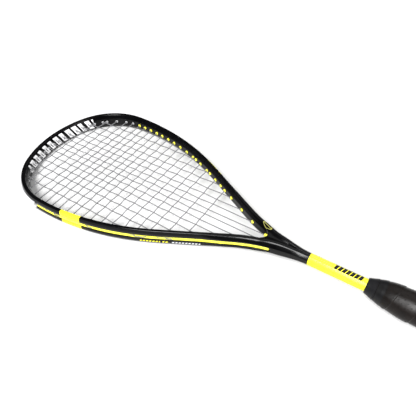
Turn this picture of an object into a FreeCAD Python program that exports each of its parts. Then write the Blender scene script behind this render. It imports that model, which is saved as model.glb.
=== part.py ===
import FreeCAD, Part
import math
import os
import Sketcher
from FreeCAD import Vector

# Squash racket, strung and gripped. Millimetres.
# Origin: centre of the butt's end face. +Y runs up the shaft to the head's tip,
# +X to the right-hand side of the hoop, +Z out of the string bed.

os.makedirs("parts", exist_ok=True)
doc = FreeCAD.newDocument("squash_racket")

# name: (value, what it is)
DIMENSIONS = {
    "tip_line": (680.8, "y of the hoop's centreline at the tip"),
    "tip_radius": (129.8, "hoop centreline radius over the tip"),
    "tip_turn": (23.5, "degrees turned on the tip arc, each side"),
    "shoulder_radius": (77.0, "hoop centreline radius at the shoulder"),
    "shoulder_turn": (65.3, "degrees turned at the shoulder"),
    "side_radius": (314.5, "hoop centreline radius down the side"),
    "side_turn": (24.3, "degrees turned down the side"),
    "hip_radius": (418.0, "hoop centreline radius above the straight arm"),
    "arm_lean": (27.2, "degrees between the straight arm and the shaft"),
    "arm_run": (80.0, "length of the straight arm"),
    "fork_half_gap": (3.3, "x of the arm's centreline where it joins the shaft"),
    "joint_lean": (9.0, "degrees of lean where the hoop meets the fork"),
    "beam_half": (10.3, "half the depth of the hoop's section along Z"),
    "crown_half": (1.5, "half the width of the hoop's top edge"),
    "outer_half": (6.3, "half the height of the hoop's outer face"),
    "inner_half": (4.0, "half the height of the hoop's inner face"),
    "outer_reach": (3.2, "centreline to the hoop's outer face"),
    "inner_reach": (4.5, "centreline to the hoop's inner face"),
    "wall": (1.2, "wall of the moulded hoop"),
    "channel_half": (2.9, "half the width of the string channel"),
    "channel_floor": (0.6, "centreline to the channel's floor"),
    "guard_reach": (5.2, "centreline to the bumper guard's outer face"),
    "guard_end": (604.0, "y where the guard stops and the side strips start"),
    "strip_end": (330.0, "y where the side strips stop"),
    "channel_end": (328.0, "y where the string channel stops"),
    "strip_base": (0.6, "thickness of a grommet strip"),
    "barrel_out": (1.7, "outer radius of a grommet barrel"),
    "barrel_bore": (1.2, "bore radius of a grommet barrel"),
    "barrel_hole": (2.0, "radius of the hole in the hoop"),
    "barrel_sink": (2.0, "radius of the shallow sink round a barrel's outer end"),
    "barrel_proud": (0.8, "how far a barrel stands in from the inner face"),
    "string_radius": (0.6, "radius of the string"),
    "wall_shift": (3.0, "how far each hole of a wall crossing moves along the hoop"),
    "weave": (0.7, "string centre above or below the bed at a crossing"),
    "loop_shift": (1.3, "z of the string loops in the channel"),
    "loop_reach": (2.0, "centreline to the string loops"),
    "knot_radius": (0.95, "radius of the knot at a string's end"),
    "shaft_half": (6.4, "half the width of the shaft"),
    "shaft_deep": (6.8, "half the depth of the shaft"),
    "shaft_side": (3.2, "half the height of the shaft's side flat"),
    "shaft_top": (3.3, "half the width of the shaft's top flat"),
    "shaft_bore": (4.5, "bore radius of the shaft"),
    "shaft_start": (12.0, "y of the shaft's hidden end"),
    "fork_end": (286.6, "y where the fork stops and the shaft starts"),
    "spigot_radius": (4.2, "radius of the fork's spigot in the shaft"),
    "spigot_run": (14.0, "length of the fork's spigot"),
    "web_top": (332.5, "y of the crotch between the arms"),
    "web_half": (8.0, "half the depth of the crotch web"),
    "grip_radius": (16.4, "outer radius of the wrapped grip"),
    "tape_thick": (1.6, "thickness of the grip tape"),
    "layer_gap": (0.3, "gap kept between curved layers"),
    "cap_radius": (17.2, "radius of the butt cap's flange"),
    "cap_flange": (4.0, "thickness of the butt cap's flange"),
    "cap_skirt": (15.7, "outer radius of the butt cap's skirt"),
    "skirt_wall": (1.0, "wall of the butt cap's skirt"),
    "skirt_end": (18.0, "y of the end of the butt cap's skirt"),
    "badge_radius": (11.0, "radius of the badge in the butt cap"),
    "badge_thick": (0.8, "thickness of the badge"),
    "staple_low": (7.0, "y of a staple's lower leg"),
    "staple_span": (8.0, "length of a staple's crown"),
    "staple_leg": (6.0, "length of a staple's leg"),
    "staple_wire": (0.6, "thickness of the staple's wire"),
}

# x of the seven mains each side of the middle, and y of the nineteen crosses
MAINS = [4.5, 14.2, 24.2, 35.0, 46.6, 58.8, 72.7]
CROSSES = [660.6, 648.4, 634.6, 621.1, 610.1, 598.1, 587.7, 576.4, 564.9, 554.1,
           542.0, 529.8, 517.0, 503.3, 489.2, 473.4, 459.1, 439.9, 419.5]

# Crossings that fall at the hoop's wall: (main's x, cross's index, at the tip). Their two holes
# are set apart along the hoop, and the strings cross just inside it.
WALL_CROSSINGS = [(58.8, 0, True), (72.7, 1, True), (72.7, 14, False)]

sheet = doc.addObject("Spreadsheet::Sheet", "Dims")
for row, (name, (value, note)) in enumerate(DIMENSIONS.items(), start=1):
    sheet.set("A%d" % row, name)
    sheet.set("B%d" % row, str(value))
    sheet.set("C%d" % row, note)
    sheet.setAlias("B%d" % row, name)
doc.recompute()


def dim(name):
    """The value of one cell of the sheet."""
    return float(sheet.get(name))


# ---------------------------------------------------------------- hoop centreline

def half_segments():
    """(curvature, length) from the tip to the fork, with the inside of the hoop on the right."""
    lean = math.radians(dim("arm_lean"))
    turns = [math.radians(dim(n)) for n in ("tip_turn", "shoulder_turn", "side_turn")]
    turns.append(math.pi / 2 + lean - sum(turns))
    radii = [dim(n) for n in ("tip_radius", "shoulder_radius", "side_radius", "hip_radius")]
    segments = [(-1.0 / radius, radius * turn) for radius, turn in zip(radii, turns)]
    segments.append((0.0, dim("arm_run")))
    x = 0.0
    heading = 0.0
    for curvature, length in segments:
        x += advance(0.0, 0.0, heading, curvature, length)[0]
        heading += curvature * length
    fork_radius = (x - dim("fork_half_gap")) / (1.0 - math.cos(lean))
    segments.append((1.0 / fork_radius, fork_radius * lean))
    return segments


def advance(x, y, heading, curvature, length):
    """Point and heading after one run of constant curvature."""
    if abs(curvature) < 1e-12:
        return x + length * math.cos(heading), y + length * math.sin(heading), heading
    turned = heading + curvature * length
    x += (math.sin(turned) - math.sin(heading)) / curvature
    y -= (math.cos(turned) - math.cos(heading)) / curvature
    return x, y, turned


def full_segments():
    """Start point, heading and (curvature, length) list from the left fork end to the right."""
    half = half_segments()
    x, y, heading = 0.0, dim("tip_line"), 0.0
    for curvature, length in half:
        x, y, heading = advance(x, y, heading, curvature, length)
    return (-x, y, -heading), half[::-1] + half


START, SEGMENTS = full_segments()
TOTAL = sum(length for _, length in SEGMENTS)
JOINT = math.radians(dim("joint_lean")) / SEGMENTS[0][0]


def at(station):
    """Point and heading of the centreline at a distance along it."""
    x, y, heading = START
    left = station
    for curvature, length in SEGMENTS:
        if left <= length:
            return advance(x, y, heading, curvature, left)
        x, y, heading = advance(x, y, heading, curvature, length)
        left -= length
    return advance(x, y, heading, 0.0, left)


def offset_point(station, reach, z=0.0):
    """Point beside the centreline, reach outwards."""
    x, y, heading = at(station)
    return Vector(x - reach * math.sin(heading), y + reach * math.cos(heading), z)


def centreline(first, last):
    """Wire of true arcs and lines between two stations."""
    edges = []
    begin = 0.0
    for curvature, length in SEGMENTS:
        low = max(first, begin)
        high = min(last, begin + length)
        begin += length
        if high - low < 1e-6:
            continue
        ends = [Vector(*at(s)[:2], 0) for s in (low, (low + high) / 2, high)]
        if curvature == 0.0:
            edges.append(Part.makeLine(ends[0], ends[2]))
        else:
            edges.append(Part.Arc(*ends).toShape())
    return Part.Wire(edges)


def station_at_y(y, side):
    """Station of the centreline at a height on the left (-1) or right (+1) arm."""
    low, high = 0.0, TOTAL / 2
    for _ in range(60):
        middle = (low + high) / 2
        if at(middle)[1] < y:
            low = middle
        else:
            high = middle
    return low if side < 0 else TOTAL - low


# ---------------------------------------------------------------- sections and sweeps

def rounded_corners(corners, radii):
    """Edges of a closed polygon whose corners are rounded, in the (reach, z) plane."""
    count = len(corners)
    cuts = []
    for i, corner in enumerate(corners):
        here = Vector(corner[0], corner[1], 0)
        before = Vector(*corners[i - 1], 0) - here
        after = Vector(*corners[(i + 1) % count], 0) - here
        before.normalize()
        after.normalize()
        half = math.acos(max(-1.0, min(1.0, before.dot(after)))) / 2
        back = radii[i] / math.tan(half)
        inward = before + after
        inward.normalize()
        middle = here + inward * (radii[i] / math.sin(half) - radii[i])
        cuts.append((here + before * back, middle, here + after * back))
    edges = []
    for i, (start, middle, end) in enumerate(cuts):
        edges.append(Part.Arc(start, middle, end).toShape())
        edges.append(Part.makeLine(end, cuts[(i + 1) % count][0]))
    return edges


def place_section(edges, station):
    """Stand a (reach, z) section across the centreline at a station."""
    x, y, heading = at(station)
    frame = FreeCAD.Matrix(
        -math.sin(heading), 0, math.cos(heading), x,
        math.cos(heading), 0, math.sin(heading), y,
        0, 1, 0, 0,
        0, 0, 0, 1)
    wire = Part.Wire(Part.__sortEdges__(edges))
    wire.Placement = FreeCAD.Placement(frame)
    return wire


def sweep(path, sections):
    """Solid swept along a wire through one or more section wires."""
    pipe = Part.BRepOffsetAPI.MakePipeShell(path)
    pipe.setBiNormalMode(Vector(0, 0, 1))
    for section in sections:
        pipe.add(section)
    pipe.build()
    pipe.makeSolid()
    return checked(pipe.shape())


def checked(shape):
    """The shape's single solid, the right way out."""
    solid = shape.Solids[0] if shape.Solids else Part.Solid(shape.Shells[0])
    if solid.Volume < 0:
        solid.reverse()
    return solid


def sweep_section(corners, radii, first, last):
    """Sweep one rounded section along part of the centreline."""
    edges = rounded_corners(corners, radii)
    return sweep(centreline(first, last), [place_section(edges, first)])


def mirror_z(upper):
    """Close a section from its upper half, listed from outside to inside."""
    return upper + [(reach, -z) for reach, z in upper[::-1]]


def hoop_corners():
    upper = [
        (dim("outer_reach"), dim("outer_half")),
        (dim("crown_half"), dim("beam_half")),
        (-dim("crown_half"), dim("beam_half")),
        (-dim("inner_reach"), dim("inner_half")),
    ]
    return mirror_z(upper), [1.2, 1.3, 1.3, 2.0, 2.0, 1.3, 1.3, 1.2]


def cavity_corners(shrink=0.0):
    """The hollow inside the hoop, narrowed where the string channel is."""
    wall = dim("wall") + shrink
    upper = [
        (dim("channel_floor") - wall, dim("channel_half") + wall),
        (dim("outer_reach") - wall - 0.2, dim("channel_half") + wall),
        (dim("outer_reach") - wall - 0.2, dim("outer_half") - 0.2 * wall),
        (dim("crown_half") - 0.3 * wall, dim("beam_half") - wall),
        (-dim("crown_half") + 0.5 * wall, dim("beam_half") - wall),
        (-dim("inner_reach") + wall, dim("inner_half") - 0.2 * wall),
    ]
    return mirror_z(upper), [0.2] * 12


# ---------------------------------------------------------------- string holes

def mouth_reach():
    """Centreline to the mouth of a barrel, inside the hoop."""
    return -dim("inner_reach") - dim("barrel_proud")


def unit(x, y):
    size = math.hypot(x, y)
    return x / size, y / size


def hole_for(x, y, go):
    """Where a string from (x, y) along go meets its barrel, and where it comes out outside."""
    inner = mouth_reach()

    def miss(station):
        point = offset_point(station, inner)
        return (point.x - x) if go[0] == 0 else (point.y - y)

    best = None
    steps = 900
    for i in range(steps):
        a = TOTAL * i / steps
        b = TOTAL * (i + 1) / steps
        if miss(a) * miss(b) > 0:
            continue
        for _ in range(50):
            middle = (a + b) / 2
            if miss(a) * miss(middle) <= 0:
                b = middle
            else:
                a = middle
        point = offset_point(a, inner)
        ahead = (point.x - x) * go[0] + (point.y - y) * go[1]
        if ahead > 0 and (best is None or ahead < best[0]):
            best = (ahead, a)
    return hole_at(best[1], go)


def hole_at(mouth, go):
    """The hole whose mouth is at a station, for a string that arrives along go."""
    entry = offset_point(mouth, mouth_reach())
    _, _, heading = at(mouth)
    normal = (-math.sin(heading), math.cos(heading))
    run = unit(normal[0] + go[0], normal[1] + go[1])
    slant = run[0] * normal[0] + run[1] * normal[1]
    direction = Vector(run[0], run[1], 0)
    leave = entry + direction * ((dim("loop_reach") - mouth_reach()) / slant)
    return {"entry": entry, "exit": leave, "run": direction, "slant": slant, "go": go,
            "mouth": mouth, "station": nearest_station(leave, mouth)}


def nearest_station(point, guess):
    """Station whose normal passes through the point."""
    station = guess
    for _ in range(30):
        x, y, heading = at(station)
        station += (point.x - x) * math.cos(heading) + (point.y - y) * math.sin(heading)
    return station


def middle_y():
    return (CROSSES[0] + CROSSES[-1]) / 2


def main_hole(x, tip):
    return hole_for(x, middle_y(), (0, 1) if tip else (0, -1))


def cross_hole(y, side):
    return hole_for(0.0, y, (side, 0))


MAIN_X = [-x for x in MAINS[::-1]] + MAINS
MAIN_HOLES = {(x, tip): main_hole(x, tip) for x in MAIN_X for tip in (True, False)}
CROSS_HOLES = {(y, side): cross_hole(y, side) for y in CROSSES for side in (-1, 1)}


def set_apart(x, index, tip, side):
    """Move the two holes of a wall crossing away from each other along the hoop."""
    shift = dim("wall_shift") * side * (-1 if tip else 1)
    main_key, cross_key = (side * x, tip), (CROSSES[index], side)
    main, cross = MAIN_HOLES[main_key], CROSS_HOLES[cross_key]
    middle = (main["mouth"] + cross["mouth"]) / 2
    MAIN_HOLES[main_key] = hole_at(middle + shift, main["go"])
    CROSS_HOLES[cross_key] = hole_at(middle - shift, cross["go"])
    WALL_POINTS[side * x, CROSSES[index]] = offset_point(middle, mouth_reach() - 1.8)


WALL_POINTS = {}
for crossing in WALL_CROSSINGS:
    for hand in (-1, 1):
        set_apart(*crossing, hand)


def all_holes():
    return list(MAIN_HOLES.values()) + list(CROSS_HOLES.values())


def along(hole, radius, first_reach, last_reach):
    """Cylinder on a hole's axis between two distances from the centreline."""
    slant = hole["slant"]
    start = hole["entry"] + hole["run"] * ((first_reach - mouth_reach()) / slant)
    length = (last_reach - first_reach) / slant
    return Part.makeCylinder(radius, length, start, hole["run"])


# ---------------------------------------------------------------- hoop, fork and shaft

def make_hoop():
    first, last = JOINT, TOTAL - JOINT
    corners, radii = hoop_corners()
    body = sweep_section(corners, radii, first, last)
    corners, radii = cavity_corners()
    hollow = sweep_section(corners, radii, first, last)
    left, right = station_at_y(dim("channel_end"), -1), station_at_y(dim("channel_end"), 1)
    half, floor = dim("channel_half"), dim("channel_floor")
    trough = [(floor, -half), (floor, half), (8.0, half), (8.0, -half)]
    channel = sweep_section(trough, [0.5, 0.5, 0.1, 0.1], left, right)
    holes = [along(hole, dim("barrel_hole"), -7.5, 2.5) for hole in all_holes()]
    return body.cut(hollow).cut(channel).cut(holes)


def shaft_corners():
    side, deep = dim("shaft_half"), dim("shaft_deep")
    flat, top = dim("shaft_side"), dim("shaft_top")
    return [(side, flat), (top, deep), (-top, deep), (-side, flat),
            (-side, -flat), (-top, -deep), (top, -deep), (side, -flat)]


def fork_arm(first, last):
    """Left arm of the fork: half of the shaft's section easing into the hoop's."""
    gap = dim("fork_half_gap")
    upper = [
        (dim("shaft_half") - gap, dim("shaft_side")),
        (dim("shaft_top") - gap, dim("shaft_deep")),
        (-gap - 0.2, dim("shaft_deep")),
        (-gap - 0.9, dim("shaft_deep") - 1.0),
    ]
    shaft = rounded_corners(mirror_z(upper), [2.2, 2.2, 0.2, 0.2, 0.2, 0.2, 2.2, 2.2])
    hoop = rounded_corners(*hoop_corners())
    return sweep(centreline(first, last), [place_section(shaft, first), place_section(hoop, last)])


def make_fork():
    """Both arms, the crotch web, and spigots into the hoop's ends and the shaft."""
    low = at(0.0)[1]
    end = dim("fork_end")
    run = dim("spigot_run")
    corners, radii = cavity_corners(0.3)
    parts = [
        crotch_web(low),
        sweep_section(corners, radii, JOINT - 1.0, JOINT + 8.0),
        shaft_prism(end, low),
        Part.makeCylinder(dim("spigot_radius"), run + 2, Vector(0, end - run, 0), Vector(0, 1, 0)),
    ]
    left_side = Part.makeBox(60, 200, 60, Vector(-60, 200, -30))
    half = fork_arm(0.0, JOINT).common(left_side)
    for part in parts:
        half = half.fuse(part.common(left_side))
    other = half.mirror(Vector(0, 0, 0), Vector(1, 0, 0))
    return half.fuse(other).removeSplitter()


def crotch_web(low):
    """Wedge that fills the V between the arms up to the crotch."""
    gap = dim("layer_gap")
    ys = [low + 6.0, at(JOINT)[1], (at(JOINT)[1] + dim("web_top")) / 2, dim("web_top")]
    rights = []
    for y in ys:
        wall = offset_point(station_at_y(y, 1), -dim("inner_reach"))
        rights.append(Vector(max(wall.x, 0.2) - gap if y > ys[1] - 1 else 1.5, y, 0))
    lefts = [Vector(-p.x, p.y, 0) for p in rights[::-1]]
    outline = Part.makePolygon(rights + lefts + [rights[0]])
    half = dim("web_half")
    face = Part.Face(outline)
    face.translate(Vector(0, 0, -half))
    return face.extrude(Vector(0, 0, 2 * half))


def shaft_prism(low, high):
    """Solid length of the shaft's outline."""
    edges = rounded_corners(shaft_corners(), [2.2] * 8)
    wire = Part.Wire(Part.__sortEdges__(edges))
    wire.rotate(Vector(0, 0, 0), Vector(1, 0, 0), 90)
    wire.translate(Vector(0, low, 0))
    return Part.Face(wire).extrude(Vector(0, high - low, 0))


# ---------------------------------------------------------------- guard and grommet strips

def with_barrels(strip, holes):
    """Add a bored barrel to a strip at each hole."""
    floor = dim("channel_floor")
    barrels = [along(hole, dim("barrel_out"), mouth_reach(), floor + 0.3) for hole in holes]
    bores = [along(hole, dim("barrel_bore"), -9.0, 4.0) for hole in holes]
    sinks = [along(hole, dim("barrel_sink"), floor + 0.4, 4.0) for hole in holes]
    return strip.fuse(barrels).cut(bores).cut(sinks)


def on_guard(hole):
    return hole["exit"].y > dim("guard_end")


def make_guard():
    """Bumper guard: a base in the channel, two walls, and lips over the hoop's outer face."""
    reach, base = dim("guard_reach"), dim("channel_floor") + 0.1
    face, gap = dim("outer_reach") + 0.2, dim("channel_half") - 0.1
    upper = [
        (base + dim("strip_base"), 2.1),
        (reach, 2.1),
        (reach, 4.4),
        (reach - 0.8, 5.6),
        (face, 5.9),
        (face, gap),
        (base, gap),
    ]
    radii = [0.2, 0.3, 0.8, 0.5, 0.2, 0.2, 0.3]
    first = station_at_y(dim("guard_end") + 0.5, -1)
    last = station_at_y(dim("guard_end") + 0.5, 1)
    strip = sweep_section(mirror_z(upper), radii + radii[::-1], first, last)
    return with_barrels(strip, [hole for hole in all_holes() if on_guard(hole)])


def make_strip(side):
    """Side strip: a flat band on the channel's floor with a barrel for each string."""
    base, half = dim("channel_floor") + 0.1, dim("channel_half") - 0.2
    corners = [(base, -half), (base, half), (base + dim("strip_base"), half),
               (base + dim("strip_base"), -half)]
    stations = sorted([station_at_y(dim("strip_end"), side),
                       station_at_y(dim("guard_end") - 0.5, side)])
    strip = sweep_section(corners, [0.1] * 4, *stations)
    holes = [hole for hole in all_holes()
             if not on_guard(hole) and hole["exit"].x * side > 0]
    return with_barrels(strip, holes)


# ---------------------------------------------------------------- strings

def loop_points(start, end, z):
    """Corner points of a loop that runs in the channel from one hole to the next."""
    first, last = start["station"], end["station"]
    sign = 1 if last > first else -1
    shift = 3.0
    span = abs(last - first) - 2 * shift
    count = max(1, int(round(span / 6.0)))
    reach = dim("loop_reach")
    points = [start["exit"]]
    for i in range(count + 1):
        station = first + sign * (shift + span * i / count)
        points.append(offset_point(station, reach, z))
    points.append(end["exit"])
    return points


def tail_points(hole, sign, z):
    """Corner points of a tied end, which lies in the channel past its hole."""
    knot_reach = dim("loop_reach") + 0.3
    return [hole["exit"], offset_point(hole["station"] + sign * 3.0, dim("loop_reach"), z),
            offset_point(hole["station"] + sign * 7.0, knot_reach, 0.8 * z)]


def bead_points(first_hole, last_hole, crossings):
    """Run across the bed from one hole to the other, over and under the strings it meets."""
    return [first_hole["entry"]] + crossings + [last_hole["entry"]]


def crossing_point(x, y, z):
    """Where a main and a cross meet, a little inside the hoop if that is at its wall."""
    point = WALL_POINTS.get((x, y), Vector(x, y, 0))
    return Vector(point.x, point.y, z)


def main_crossings(index, upward):
    x = MAIN_X[index]
    tip, throat = MAIN_HOLES[x, True]["entry"].y, MAIN_HOLES[x, False]["entry"].y
    points = []
    for j, y in enumerate(CROSSES):
        if throat + 2.5 < y < tip - 2.5 or (x, y) in WALL_POINTS:
            points.append(crossing_point(x, y, dim("weave") * (-1) ** (index + j)))
    return points[::-1] if upward else points


def cross_crossings(index, rightward):
    y = CROSSES[index]
    left, right = CROSS_HOLES[y, -1]["entry"].x, CROSS_HOLES[y, 1]["entry"].x
    points = []
    for i, x in enumerate(MAIN_X):
        if left + 2.5 < x < right - 2.5 or (x, y) in WALL_POINTS:
            points.append(crossing_point(x, y, -dim("weave") * (-1) ** (i + index)))
    return points if rightward else points[::-1]


def main_route():
    """Corner points of the one string that makes all the mains."""
    shift = dim("loop_shift")
    first = MAIN_HOLES[MAIN_X[0], False]
    points = tail_points(first, -1, shift)[::-1]
    upward = True
    for i, x in enumerate(MAIN_X):
        begin, end = MAIN_HOLES[x, not upward], MAIN_HOLES[x, upward]
        points += bead_points(begin, end, main_crossings(i, upward))
        if i + 1 < len(MAIN_X):
            points += loop_points(end, MAIN_HOLES[MAIN_X[i + 1], upward], shift)
        else:
            points += tail_points(end, 1, shift)
        upward = not upward
    return points


def cross_route():
    """Corner points of the one string that makes all the crosses."""
    shift = -dim("loop_shift")
    first = CROSS_HOLES[CROSSES[0], -1]
    points = tail_points(first, 1, shift)[::-1]
    side = 1
    for j, y in enumerate(CROSSES):
        begin, end = CROSS_HOLES[y, -side], CROSS_HOLES[y, side]
        points += bead_points(begin, end, cross_crossings(j, side > 0))
        if j + 1 < len(CROSSES):
            points += loop_points(end, CROSS_HOLES[CROSSES[j + 1], side], shift)
        else:
            points += tail_points(end, side, shift)
        side = -side
    return points


def string_edges(points):
    """Straight runs joined by tangent arcs, as tight as the room at each corner asks."""
    edges = []
    begin = points[0]
    for i in range(1, len(points) - 1):
        here = points[i]
        back, ahead = points[i - 1] - here, points[i + 1] - here
        room = 0.45 * min(back.Length, ahead.Length)
        back.normalize()
        ahead.normalize()
        half = math.acos(max(-1.0, min(1.0, back.dot(ahead)))) / 2
        if math.pi / 2 - half < 1e-3:
            continue
        bend = min(4.0, room * math.tan(half))
        if half < math.radians(65):
            bend = min(1.4, bend)
        cut = bend / math.tan(half)
        inward = back + ahead
        inward.normalize()
        start = here + back * cut
        middle = here + inward * (bend / math.sin(half) - bend)
        end = here + ahead * cut
        edges.append(Part.makeLine(begin, start))
        edges.append(Part.Arc(start, middle, end).toShape())
        begin = end
    edges.append(Part.makeLine(begin, points[-1]))
    return edges


def make_string(points):
    """A string along its whole route, with a knot at each end."""
    radius = dim("string_radius")
    edges = string_edges(points)
    way = (points[1] - points[0]).normalize()
    section = Part.Wire([Part.makeCircle(radius, points[0], way)])
    pipe = Part.BRepOffsetAPI.MakePipeShell(Part.Wire(edges))
    pipe.setFrenetMode(False)
    pipe.add(section)
    pipe.build()
    pipe.makeSolid()
    solid = checked(pipe.shape())
    expected = math.pi * radius ** 2 * sum(edge.Length for edge in edges)
    if abs(solid.Volume / expected - 1.0) > 0.01:
        raise ValueError("string volume %.1f, expected %.1f" % (solid.Volume, expected))
    knots = [Part.makeSphere(dim("knot_radius"), end) for end in (points[0], points[-1])]
    return solid.fuse(knots)


# ---------------------------------------------------------------- handle, from turned profiles

def turned(name, profile):
    """Part::Revolution about Y of a closed profile of (x expression, y expression) corners."""
    sketch = doc.addObject("Sketcher::SketchObject", name + "_profile")
    corners = [Vector(value_of(x), value_of(y), 0) for x, y in profile]
    count = len(corners)
    for i in range(count):
        sketch.addGeometry(Part.LineSegment(corners[i], corners[(i + 1) % count]))
    for i in range(count):
        sketch.addConstraint(Sketcher.Constraint("Coincident", i, 2, (i + 1) % count, 1))
    for i, (x, y) in enumerate(profile):
        bind(sketch, "DistanceX", i, x, "x%d" % i)
        bind(sketch, "DistanceY", i, y, "y%d" % i)
    solid = doc.addObject("Part::Revolution", name)
    solid.Source = sketch
    solid.Axis = Vector(0, 1, 0)
    solid.Angle = 360
    solid.Solid = True
    return solid


def value_of(expression):
    """Value of a profile size, which is a number or an expression on the sheet's names."""
    if isinstance(expression, (int, float)):
        return float(expression)
    total = 0.0
    for term in expression.replace("-", "+-").split("+"):
        term = term.strip()
        if not term:
            continue
        sign = -1.0 if term.startswith("-") else 1.0
        term = term.lstrip("-").strip()
        total += sign * (dim(term) if term in DIMENSIONS else float(term))
    return total


def sheet_expression(expression):
    """The same size written for FreeCAD, with the sheet's name in front of each cell."""
    words = expression.replace("+", " + ").replace("-", " - ").split()
    return " ".join("Dims." + word if word in DIMENSIONS else word for word in words)


def bind(sketch, kind, corner, size, label):
    """Hold one coordinate of a corner at a size, tied to the sheet when it names a cell."""
    index = sketch.addConstraint(
        Sketcher.Constraint(kind, -1, 1, corner, 1, value_of(size)))
    if isinstance(size, str):
        sketch.renameConstraint(index, label)
        sketch.setExpression("Constraints." + label, sheet_expression(size))


def box(name, sizes, corner):
    """Part::Box with expressions for its sizes and plain numbers for its corner."""
    solid = doc.addObject("Part::Box", name)
    for prop, size in zip(("Length", "Width", "Height"), sizes):
        solid.setExpression(prop, sheet_expression(size))
    solid.Placement = FreeCAD.Placement(Vector(*corner), FreeCAD.Rotation())
    return solid


def subtract(name, base, tools):
    """Part::Cut of a feature by one or more others."""
    cut = doc.addObject("Part::Cut", name)
    cut.Base = base
    if len(tools) == 1:
        cut.Tool = tools[0]
    else:
        group = doc.addObject("Part::MultiFuse", name + "_tools")
        group.Shapes = tools
        cut.Tool = group
    return cut


def fixed_feature(name, shape):
    feature = doc.addObject("Part::Feature", name)
    feature.Shape = shape
    feature.Placement = FreeCAD.Placement()
    return feature


GRIP_LINE = [
    ("218.6", "8.9"), ("213.4", "11.0"), ("208.5", "12.6"), ("205.5", "13.3"),
    ("203.5", "13.8"), ("198.5", "15.0"), ("189.5", "16.0"), ("180.0", "grip_radius"),
    ("26.0", "grip_radius"), ("20.0", "grip_radius + 1.2"), ("cap_flange + 0.6", "grip_radius + 1.4"),
]


def make_shaft():
    """Moulded shaft: an eight-sided tube that runs on inside the handle."""
    outer = shaft_prism(dim("shaft_start"), dim("fork_end") - 0.1)
    tube = fixed_feature("shaft_outer", outer)
    bore = doc.addObject("Part::Cylinder", "shaft_bore_tool")
    bore.setExpression("Radius", "Dims.shaft_bore")
    bore.setExpression("Height", "Dims.fork_end")
    bore.Placement = FreeCAD.Placement(Vector(0, 0, 0), FreeCAD.Rotation(Vector(1, 0, 0), -90))
    return subtract("shaft_tube", tube, [bore])


def make_pallet():
    """Foam handle moulded round the shaft, tapered where it meets the shaft."""
    profile = [("0", "cap_flange + 0.3")]
    profile.append(("cap_skirt - skirt_wall - layer_gap", "cap_flange + 0.3"))
    profile.append(("cap_skirt - skirt_wall - layer_gap", "skirt_end + 2"))
    for y, radius in GRIP_LINE[7:0:-1]:
        profile.append((radius + " - tape_thick - layer_gap", y))
    profile.append(("7.9", "216.6"))
    profile.append(("0", "216.6"))
    blank = turned("pallet_blank", profile)
    core = fixed_feature("pallet_core", shaft_prism(dim("shaft_start") - 1.0, 240.0))
    return subtract("handle_pallet", blank, [core] + staple_slots("pallet", 0.15))


def make_tape():
    """Grip tape, wrapped from the butt cap to the collar, as one sleeve."""
    thick = " - tape_thick"
    outer = [(radius, y) for y, radius in GRIP_LINE]
    inner = [("cap_skirt + layer_gap", "cap_flange + 0.6"), ("cap_skirt + layer_gap", "20.0"),
             ("grip_radius" + thick, "26.0")]
    for y, radius in GRIP_LINE[7:0:-1]:
        inner.append((radius + thick, y))
    inner.append(("8.0", GRIP_LINE[0][0]))
    return turned("grip_tape", outer + inner)


def make_finishing_tape():
    """Thin adhesive band over the grip's upper end."""
    inner = [(radius + " + layer_gap", y) for y, radius in GRIP_LINE[1:4]]
    outer = [(radius + " + layer_gap + 0.3", y) for y, radius in GRIP_LINE[1:4]]
    return turned("finishing_tape", inner[::-1] + outer)


def make_collar():
    """Rubber collar that hides the end of the tape on the shaft."""
    profile = [("7.6", "223.6"), ("8.0", "223.9"), ("8.7", "222.6"), ("9.9", "218.8"),
               ("11.8", "214.0"), ("11.3", "213.7"), ("9.3", "218.9"), ("7.6", "219.2")]
    return turned("grip_collar", profile)


def make_butt_cap():
    """Butt cap: a flange with a recess for the badge and a skirt stapled to the pallet."""
    profile = [
        ("badge_radius + 0.2", "0"), ("cap_radius - 1.5", "0"), ("cap_radius", "1.5"),
        ("cap_radius", "cap_flange"), ("cap_skirt", "cap_flange"), ("cap_skirt", "skirt_end"),
        ("cap_skirt - skirt_wall", "skirt_end"), ("cap_skirt - skirt_wall", "cap_flange"),
        ("0", "cap_flange"), ("0", "badge_thick + 0.1"),
        ("badge_radius + 0.2", "badge_thick + 0.1"),
    ]
    blank = turned("cap_blank", profile)
    return subtract("butt_cap", blank, staple_slots("cap", 0.15))


def make_badge():
    profile = [("0", "0"), ("badge_radius", "0"), ("badge_radius", "badge_thick"),
               ("0", "badge_thick")]
    return turned("butt_badge", profile)


def staple_boxes(name, side, play):
    """Crown and two legs of one staple, as boxes, made larger by the play."""
    wire, span, leg = dim("staple_wire"), dim("staple_span"), dim("staple_leg")
    reach = dim("cap_skirt") + 0.1
    low, grow = dim("staple_low"), 2 * play
    sizes = [("staple_wire + %g" % grow, "staple_span + %g" % grow, "staple_wire + %g" % grow)]
    leg_size = ("staple_leg + %g" % grow, "staple_wire + %g" % grow, "staple_wire + %g" % grow)
    sizes += [leg_size, leg_size]
    inner = reach - wire if side > 0 else -reach
    deep = reach - leg if side > 0 else -reach
    corners = [(inner, low), (deep, low), (deep, low + span - wire)]
    boxes = []
    for i, (size, (x, y)) in enumerate(zip(sizes, corners)):
        corner = (x - play, y - play, -wire / 2 - play)
        boxes.append(box("%s_%d" % (name, i), size, corner))
    return boxes


def staple_slots(name, play):
    return staple_boxes(name + "_right", 1, play) + staple_boxes(name + "_left", -1, play)


def make_staples():
    """Two wire staples that hold the butt cap to the pallet."""
    group = doc.addObject("Part::MultiFuse", "cap_staples")
    group.Shapes = staple_slots("staple", 0.0)
    return group


# ---------------------------------------------------------------- build, check and write

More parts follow.
